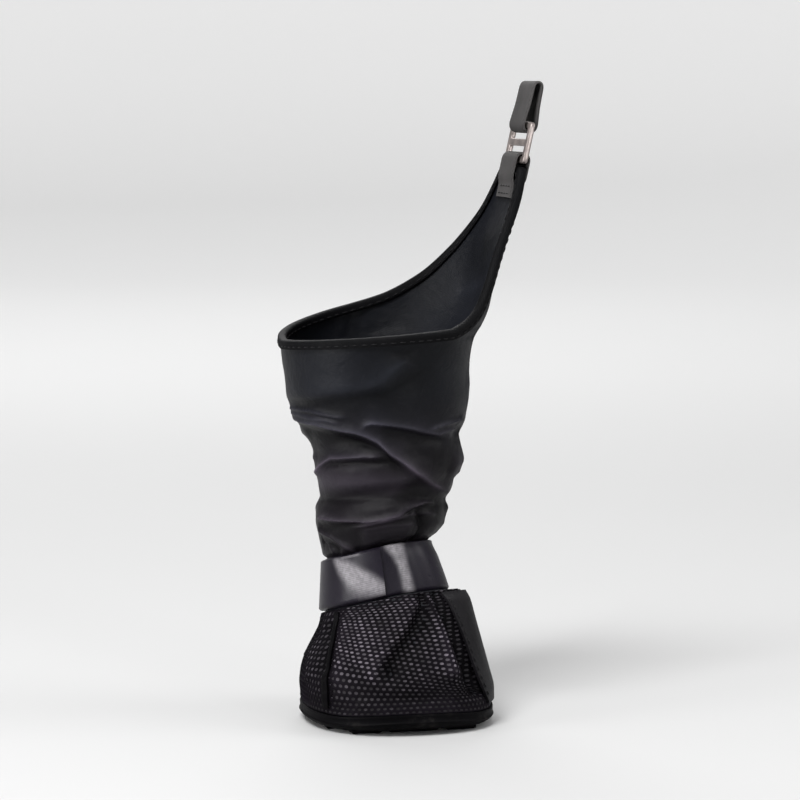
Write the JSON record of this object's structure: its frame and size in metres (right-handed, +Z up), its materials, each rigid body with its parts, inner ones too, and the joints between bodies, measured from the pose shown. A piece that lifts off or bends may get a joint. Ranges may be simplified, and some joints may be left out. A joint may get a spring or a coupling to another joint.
{
  "type": "dog boot",
  "caption": "Long-legged soft boot for a small dog's front paw: mesh foot bag on a thin rubber dish, ankle strap, slack nylon leg and a side flap with an adjuster.",
  "frame": {"origin": "on the floor under the middle of the foot, on the flat face of the sole's middle lug", "axes": "+Z up, toe towards -Y, outer side of the leg towards +X"},
  "size_m": [0.0813, 0.0773, 0.1961],
  "materials": {
    "outsole": "soft matte black rubber",
    "insole": "dark grey foam sheet",
    "upper": "black air mesh with pale grey cells",
    "side_panel": "plain dark nylon",
    "seam_tape": "plain dark binding tape",
    "ankle_strap": "glossy coated charcoal webbing",
    "strap_end": "glossy coated charcoal webbing",
    "shaft": "charcoal nylon with a satin sheen",
    "collar_binding": "black folded tape",
    "flap_tab": "dark grey webbing",
    "adjuster": "pale moulded plastic",
    "webbing_loop": "grey elastic webbing"
  },
  "bodies": {
    "root": {"outsole": "outsole", "insole": "insole", "upper": "upper", "side_panel": "side_panel", "seam_tape": "seam_tape", "ankle_strap": "ankle_strap", "strap_end": "strap_end", "shaft": "shaft", "collar_binding": "collar_binding", "flap_tab": "flap_tab", "adjuster": "adjuster", "webbing_loop": "webbing_loop"}
  },
  "joints": []
}
